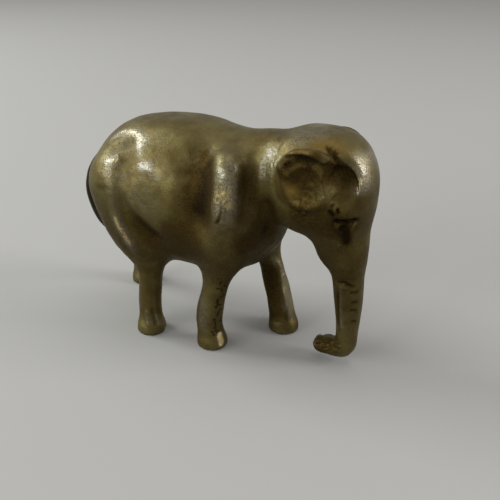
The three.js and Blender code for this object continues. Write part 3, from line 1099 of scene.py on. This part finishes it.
NECK_AND_SHOULDER = (
    # the neck's crease, and a painted highlight down the neck
    bead(((281, 135), (281, 142), (278, 149), (275, 156)), 0.9, -0.12, grime=0.2),
    grain(((277, 144), (270, 158), (266, 172), (264, 186)), 2.6, 0.05, edge=0.6, shine=0.4),
    # the shoulder's pillar between two valleys, with painted highlights on the pillar, painted shade in the valleys
    # and real dark scratches
    bead(((220, 146), (223, 165), (225, 182), (225, 200), (223, 216), (220, 232), (215, 246)), 5.2, 0.4,
         taper=(0.3, 0.35), shine=0.15),
    grain(((220, 160), (222, 176), (222, 195), (220, 215), (217, 236)), 5.4, 0.03, edge=0.5, taper=(0.2, 0.35),
          shine=0.27),
    grain(((215, 176), (214, 196), (212, 220)), 2.8, 0.03, edge=0.4, shine=0.3),
    grain(((229, 178), (229, 196), (227, 214)), 2.4, 0.03, edge=0.4, shine=0.35),
    recolour(((203, 148), (207, 156), (208, 166)), 2.6, grime=0.7),
    recolour(((198, 153), (198, 177), (196, 202), (191, 226)), 5.0, grime=1.15),
    bead(((197, 138), (199, 164), (198, 190), (195, 216), (191, 244)), 7.0, -1.2, taper=(0.3, 0.3), grime=0.4),
    bead(((203, 150), (203, 176), (202, 200), (199, 222), (195, 244)), 3.8, -0.35, taper=(0.3, 0.3), grime=0.2),
    bead(((250, 150), (251, 180), (249, 208), (244, 236)), 4.6, -0.85, grime=0.45),
    recolour(((250, 160), (252, 185), (250, 212)), 2.4, grime=0.4),
    bead(((257, 192), (253, 212), (246, 234)), 2.2, 0.35, shine=0.1),
    bead(((262, 192), (266, 208), (268, 224), (263, 240)), 2.8, -0.5, grime=0.5),
    bead(((222, 203), (221.5, 213), (219, 220), (215, 226)), 0.6, -0.3, taper=(0.2, 0.2), grime=1.5, twin=0.0),
    bead(((227, 206), (225, 214), (224.5, 222)), 0.5, -0.2, grime=1.2, twin=0.0),
    bead(((252.5, 199), (254, 205), (255, 211)), 0.5, -0.25, grime=1.0, twin=0.0),
    grain(((222, 188), (224, 206), (221, 228)), 2.4, 0.05, edge=0.5),
    bead(((211.5, 146.5), (212.5, 147.5)), 0.35, -0.15, taper=(0, 0), grime=0.8, twin=0.0),
    # painted shade under the belly and the chest, and a painted highlight along the chest's seam
    recolour(((156, 226), (178, 232), (200, 234)), 4.6, grime=0.6),
    recolour(((150, 240), (172, 248), (196, 250), (214, 252)), 5.0, grime=0.45),
    grain(((228, 252), (246, 244), (262, 232), (272, 222)), 5.5, 0.04, edge=1.0, grime=0.5),
    bead(((256, 260), (261.5, 254.5), (267, 249), (272.5, 243.5), (277, 239)), 0.5, 0.2, taper=(0.15, 0.15),
         shine=0.5, twin=0.0),
)

RUMP_AND_THIGH = (
    # the dent beside the root of the tail, and the swelling in front of it, with painted shade in the dent and on
    # the flank, and painted highlights along the dent's rim, on the swelling and in bands below
    bead(((127, 143), (116, 150)), 3.3, -0.35, taper=(0, 0), grime=0.45),
    bead(((130, 152), (125, 164), (122, 178), (121, 194)), 3.4, -0.4, taper=(0.2, 0.4), grime=0.3),
    recolour(((130, 166), (127, 178), (127, 192)), 2.0, grime=0.4),
    bead(((108, 144), (113, 138), (120, 133), (128, 131), (136, 134), (141, 141), (140, 149), (135, 155)), 1.9, 0.14,
         growth=(0.8, 1.4), taper=(0.12, 0.1), shine=0.6),
    grain(((108, 144), (113, 138), (120, 133), (130, 132), (139, 138), (141, 146), (137, 154)), 1.7, 0.07,
          edge=0.35),
    bead(((143, 165), (148, 166)), 2.4, 0.22, taper=(0, 0), shine=0.55),
    recolour(((154, 136), (162, 150), (171, 166), (176, 184)), 4.2, grime=0.35),
    recolour(((184, 152), (196, 150), (207, 154)), 4.4, grime=0.6),
    recolour(((130, 184), (150, 182), (170, 187)), 3.6, grime=0.3),
    recolour(((183, 162), (181, 182), (177, 206)), 3.8, grime=0.3),
    recolour(((126, 186), (142, 200), (162, 212)), 6.5, shine=0.16),
    recolour(((120, 144), (113, 160), (113, 182), (118, 206)), 4.6, shine=0.09),
    bead(((104, 167), (112, 162), (120, 157)), 2.2, 0.1, taper=(0.1, 0.1), shine=0.36),
    grain(((105, 167), (113, 161), (122, 156)), 1.8, 0.07, edge=0.4, shine=0.2),
    recolour(((106, 176), (102, 182), (104, 192)), 3.4, grime=0.5),
    grain(((148, 170), (156, 177), (163, 184)), 2.0, 0.05, edge=0.5, shine=0.06),
    recolour(((114, 143), (124, 142), (127, 150), (118, 156)), 3.2, taper=(0, 0), grime=0.25),
    # the thigh: a ridge behind with painted highlights, and the belly's edge in front with painted shade
    bead(((108, 178), (111, 192), (114, 206), (118, 222), (126, 236), (135, 248), (141, 261)), 2.1, 0.45, shine=0.2),
    bead(((113, 208), (117, 220), (123, 231), (130, 242), (136, 252)), 1.8, 0.12, shine=0.55),
    ledge(((121, 172), (123, 190), (128, 205), (137, 218), (147, 228), (157, 235), (167, 243)), 6.5, -0.8, edge=2.6,
          taper=(0.4, 0.2), grime=0.3),
    bead(((130, 210), (138, 221), (148, 230), (158, 237), (170, 245)), 2.6, -0.25, grime=0.35),
    recolour(((132, 216), (141, 228), (151, 240), (157, 252)), 3.2, grime=0.5),
)

LEGS = (
    filed(((220.2, 335.5), (221.6, 343)), 1.15, -0.08, edge=0.45, taper=(0, 0), shine=1.3,
          facing=(0.55, -0.75, 0.36)),
    # a painted highlight on the near foreleg and dirt along its chisel pits; the hind leg darker down its front and
    # between the toes, with painted glints on the toe ridges
    recolour(((203, 285), (202, 310), (203, 338)), 2.2, shine=0.25),
    grain(((217, 290), (216, 312), (214, 330)), 2.6, 0.03, edge=0.6, grime=0.4),
    recolour(((150, 262), (152, 282), (152, 300)), 3.4, grime=0.45),
    bead(((152, 306), (153.5, 316), (157, 327)), 0.8, -0.25, grime=0.6),
    bead(((146.5, 308), (147.5, 318), (149.5, 329)), 0.9, 0.25, shine=0.25),
    bead(((155.5, 312), (158, 320), (160.5, 328)), 0.6, 0.15, shine=0.3),
    # the far foreleg's two flats, with painted shade on the inner flat and round the foot and a painted highlight on
    # the front flat
    filed(((270, 258), (271, 280), (274, 304), (277, 324)), 3.2, -0.55, edge=0.6, taper=(0.2, 0.1),
          facing=(0.16, -0.98, 0.0), grime=0.75),
    recolour(((264, 256), (270, 276), (272, 300), (274, 322)), 3.4, grime=0.7),
    recolour(((274, 319), (284, 323), (297, 320)), 3.8, taper=(0, 0), grime=0.7),
    filed(((285, 262), (287, 282), (290.5, 306), (293, 324)), 2.4, -0.4, edge=0.5, taper=(0.15, 0.1),
          facing=(0.99, -0.1, 0.05), shine=0.3),
    *ChiselMarks(((222.5, 280), (222, 292), (220.5, 304), (219, 316), (217.5, 328), (216.5, 336)), 36).strokes(),
)

TRUNK = (
    # a filed flat on the trunk's side with painted shade over it, painted shade as a dark strip along its rear edge,
    # a painted highlight on the edge beside the strip, dark wrinkles, and painted shade on the rough tip
    filed(((348, 290), (348, 308), (349, 330)), 3.0, -0.25, edge=0.5, taper=(0.02, 0.4), facing=(0.12, -0.98, 0.1)),
    recolour(((346, 262), (347, 285), (348, 310), (349, 332)), 4.5, grime=0.3),
    bead(((337.5, 284), (344, 283), (350, 286), (357, 287)), 0.6, -0.4, grime=0.8),
    bead(((340.5, 286), (341, 300), (341.5, 318), (342, 334)), 0.75, 0.3, taper=(0.1, 0.2), shine=0.3),
    bead(((337.3, 286), (337.6, 300), (338, 318), (339, 334)), 0.7, -0.3, grime=1.1),
    bead(((350, 293), (359, 292)), 0.6, -0.35, grime=1.1),
    bead(((351, 303), (358, 302)), 0.6, -0.35, grime=1.1),
    bead(((350, 311), (357, 310)), 0.6, -0.35, grime=1.1),
    bead(((351, 322), (356, 321)), 0.6, -0.35, grime=1.1),
    filed(((315, 341), (322, 341), (331, 340)), 2.2, -0.15, edge=0.5, taper=(0.1, 0.2), facing=(-0.15, -0.45, 0.88)),
    grain(((313, 343), (321, 345), (334, 346)), 3.4, 0.22, edge=0.42, taper=(0, 0), grime=1.0),
)


@dataclass
class CastBody:
    """Both cast halves: made as one skin, so that the relief runs over the seam, then parted on it.

    Grain is the size of the skin's facets, and evening and regaining how often it is smoothed and the loss
    taken back. Weld and cap are how near the seam a face lies on it, before and after the strokes, and square
    how straight it then faces. Up to the seam band from it, a vertex takes its shading from the whole skin
    where one lies within the match. The socket's box and radius hold the faces that line it.
    """

    eye: Viewpoint
    nodes: tuple[str, str] = ("right_half", "left_half")
    grain: float = 0.27
    evening: int = 30
    regaining: int = 40
    weld: float = 0.002
    cap: float = 0.01
    square: float = 0.99
    seam_band: float = 0.4
    match: float = 0.3
    crease: float = 50.0
    socket_low: Point = (-35.5, -2.6, 37.0)
    socket_high: Point = (-24.0, 2.6, 44.0)
    socket_radius: float = 2.2
    strokes: tuple[Stroke, ...] = (*EAR_AND_FACE, *NECK_AND_SHOULDER, *RUMP_AND_THIGH, *LEGS, *TRUNK)
    waves: tuple[Span, ...] = ((7.0, 0.12), (2.6, 0.035))
    box: list[np.ndarray] = field(default_factory=list)

    def on_seam(self, mesh: bpy.types.Mesh, gap: float) -> np.ndarray:
        """Which faces of a mesh lie on the middle plane.

        Args:
            mesh: the mesh.
            gap: how far from the plane their centres may be.

        Returns:
            True for each face that does.
        """
        centres, normals = face_data(mesh)
        return (abs(centres[:, 1]) < gap) & (abs(normals[:, 1]) > self.square)

    def outer_skin(self, frame: dict, tail: TailRod) -> bpy.types.Object:
        """Copies both halves and keeps only what shows of them, closed.

        Args:
            frame: the loaded frame.
            tail: the rod, whose socket is closed.

        Returns:
            One object with the outer skin.
        """
        pick(*[put(f"{name}_copy", frame["nodes"][name].data.copy()) for name in self.nodes])
        bpy.ops.object.join()
        skin = bpy.context.object
        points = coordinates(skin.data)
        self.box = [points.min(0), points.max(0)]
        edit("EDIT")
        bpy.ops.mesh.select_all(action="SELECT")
        bpy.ops.mesh.remove_doubles(threshold=self.weld * MM)
        edit("OBJECT")
        centres, _ = face_data(skin.data)
        near = np.all((centres > self.socket_low) & (centres < self.socket_high), axis=1)
        line = tail.middle_line()
        spots = np.stack([line[:, 0], np.zeros(len(line)), line[:, 1]], axis=1)
        gaps = np.linalg.norm(centres[:, None] - spots[None], axis=2).min(1)
        choose_faces(skin.data, self.on_seam(skin.data, self.weld) | (near & (gaps < self.socket_radius)))
        edit("EDIT")
        bpy.ops.mesh.delete(type="FACE")
        edit("OBJECT")
        top = int(coordinates(skin.data)[:, 2].argmax())
        choose_faces(skin.data, np.zeros(len(skin.data.polygons), bool))
        skin.data.vertices[top].select = True
        edit("EDIT")
        bpy.ops.mesh.select_mode(type="VERT")
        bpy.ops.mesh.select_linked()
        bpy.ops.mesh.select_all(action="INVERT")
        bpy.ops.mesh.delete(type="VERT")
        bpy.ops.mesh.select_all(action="SELECT")
        bpy.ops.mesh.fill_holes(sides=0)
        edit("OBJECT")
        return skin

    def sculpt(self, skin: bpy.types.Object) -> None:
        """Evens the skin out and lays the strokes on it.

        Args:
            skin: the closed outer skin.
        """
        apply_modifier(skin, "REMESH", mode="VOXEL", voxel_size=self.grain * MM, use_smooth_shade=True)
        before = coordinates(skin.data)
        apply_modifier(skin, "SMOOTH", factor=0.5, iterations=self.evening)
        surface = Skin(skin, self.eye)
        surface.regain(before, self.regaining)
        surface.loosen(self.waves)
        for stroke in self.strokes:
            surface.lay(stroke)
        surface.finish(*self.box, WeatheringAndShade())
        LOG.info("skin: %d vertices", len(skin.data.vertices))

    def half(self, skin: bpy.types.Object, node: str, socket: bpy.types.Object) -> bpy.types.Object:
        """Cuts one half out of the skin, closes it and cuts its side of the socket.

        Args:
            skin: the whole skin.
            node: the half's node.
            socket: the socket's cutting tool.

        Returns:
            The half.
        """
        keep_low = node == self.nodes[0]
        piece = put(f"cast_{node}", skin.data.copy())
        pick(piece)
        edit("EDIT")
        bpy.ops.mesh.select_all(action="SELECT")
        bpy.ops.mesh.bisect(
            plane_co=(0, 0, 0),
            plane_no=(0, 1, 0),
            use_fill=True,
            clear_outer=keep_low,
            clear_inner=not keep_low,
            threshold=1e-6,
        )
        edit("OBJECT")
        apply_modifier(piece, "BOOLEAN", operation="DIFFERENCE", object=socket, solver="EXACT")
        return piece

    def shade(self, piece: bpy.types.Object, skin: bpy.types.Object) -> None:
        """Takes the outer faces' shading from the whole skin, so that the seam doesn't show as a crease.

        Args:
            piece: one half.
            skin: the whole skin.
        """
        pick(piece)
        bpy.ops.object.shade_smooth_by_angle(angle=math.radians(self.crease))
        points = coordinates(skin.data)
        normals = directions(skin.data)
        tree = KDTree(len(points))
        for i, point in enumerate(points):
            tree.insert(point, i)
        tree.balance()
        mesh = piece.data
        own = coordinates(mesh)
        shading = directions(mesh)
        taken = np.ones(len(own), bool)
        for i in np.nonzero(abs(own[:, 1]) < self.seam_band)[0]:
            _, found, gap = tree.find(own[i])
            taken[i] = gap < self.match
            if taken[i]:
                shading[i] = normals[found]
        vertex_of = read(mesh.loops, "vertex_index", 1, int).ravel()
        face_of = np.repeat(np.arange(len(mesh.polygons)), read(mesh.polygons, "loop_total", 1, int).ravel())
        use = taken[vertex_of] & ~self.on_seam(mesh, self.cap)[face_of]
        mesh.normals_split_custom_set(np.where(use[:, None], shading[vertex_of], 0.0).tolist())

    def build(self, frame: dict, tail: TailRod, rod: bpy.types.Object, finish: bpy.types.Material) -> None:
        """Makes, dresses and hangs both halves.

        Args:
            frame: the loaded frame.
            tail: the tail's sizes.
            rod: the tail's rod.
            finish: the brass.
        """
        skin = self.outer_skin(frame, tail)
        self.sculpt(skin)
        socket = tail.cutter(rod)
        for node in self.nodes:
            piece = self.half(skin, node, socket)
            self.shade(piece, skin)
            piece.data.materials.clear()
            piece.data.materials.append(finish)
            hang(piece, node)
        for spare in (skin, socket):
            bpy.data.objects.remove(spare)


# The studio


@dataclass(frozen=True)
class Lamp:
    """One soft lamp: where it is seen from the object, how large and how strong, in metres and watts."""

    name: str
    towards: Point
    distance: float
    size: Span
    power: float
    colour: Colour = (1.0, 1.0, 1.0)

    def make(self) -> None:
        """Adds the lamp, turned to the object."""
        data = bpy.data.lights.new(self.name, "AREA")
        data.shape = "RECTANGLE"
        data.size, data.size_y = self.size
        data.energy = self.power
        data.color = self.colour
        lamp = put(self.name, data)
        away = Vector(self.towards).normalized()
        lamp.location = away * self.distance + Vector(MIDDLE) * MM
        lamp.rotation_euler = away.to_track_quat("Z", "Y").to_euler()


@dataclass(frozen=True)
class Studio:
    """A plain pale floor, an even pale surround and soft lamps. The floor's span is in metres."""

    floor: Colour = (0.50, 0.485, 0.465)
    floor_roughness: float = 0.95
    floor_shine: float = 0.1
    surround: Colour = (0.30, 0.30, 0.295)
    backdrop: Colour = (0.54, 0.53, 0.51)
    span: float = 6.0
    lamps: tuple[Lamp, ...] = (
        Lamp("panel_left", (-0.57, -0.765, 0.30), 0.9, (0.78, 0.22), 4.4, (0.93, 0.99, 1.0)),
        Lamp("panel_behind", (-0.80, -0.10, 0.59), 0.9, (0.40, 0.26), 3.4, (0.95, 1.0, 0.98)),
        Lamp("panel_right", (0.85, 0.30, 0.38), 0.9, (0.3, 0.42), 2.8),
        Lamp("panel_above", (0.0, 0.1, 1.0), 1.2, (1.0, 1.0), 2.6),
    )

    def lay_floor(self) -> None:
        """Lays the plain floor."""
        deselect()
        bpy.ops.mesh.primitive_plane_add(size=self.span)
        floor = bpy.context.object
        floor.name = "floor"
        looks = {"Base Color": self.floor, "Roughness": self.floor_roughness, "Specular IOR Level": self.floor_shine}
        floor.data.materials.append(Sheet("pale floor").feed(looks))

    def surround_it(self) -> None:
        """Lights the object evenly from all round, in front of a backdrop that it mirrors too."""
        world = bpy.data.worlds.new("surround")
        bpy.context.scene.world = world
        world.use_nodes = True
        nodes = Nodes(world.node_tree)
        lit, seen = (nodes.add("ShaderNodeBackground") for _ in range(2))
        nodes.join(self.surround, lit.inputs["Color"])
        nodes.join(self.backdrop, seen.inputs["Color"])
        rays = nodes.add("ShaderNodeLightPath").outputs
        shown = nodes.sum("MAXIMUM", rays["Is Camera Ray"], rays["Is Glossy Ray"])
        shown = nodes.sum("MAXIMUM", shown, rays["Is Transmission Ray"])
        mix = nodes.add("ShaderNodeMixShader")
        for source, socket in zip((shown, lit.outputs[0], seen.outputs[0]), mix.inputs):
            nodes.join(source, socket)
        nodes.join(mix.outputs[0], nodes.add("ShaderNodeOutputWorld").inputs["Surface"])

    def make(self) -> None:
        """Builds the floor, the surround and the lamps."""
        self.lay_floor()
        self.surround_it()
        for lamp in self.lamps:
            lamp.make()
        bpy.context.scene.view_settings.view_transform = "Standard"


def main() -> None:
    """Builds the scene over the frame."""
    logging.basicConfig(level=logging.INFO, format="%(name)s: %(message)s")
    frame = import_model()
    eye = Viewpoint()
    eye.make()
    Studio().make()
    tail = TailRod()
    rod = tail.build()
    CastBody(eye).build(frame, tail, rod, WornBrass().make())
    tail.dress(rod, DrawnBrass().make())


if __name__ == "__main__":
    main()
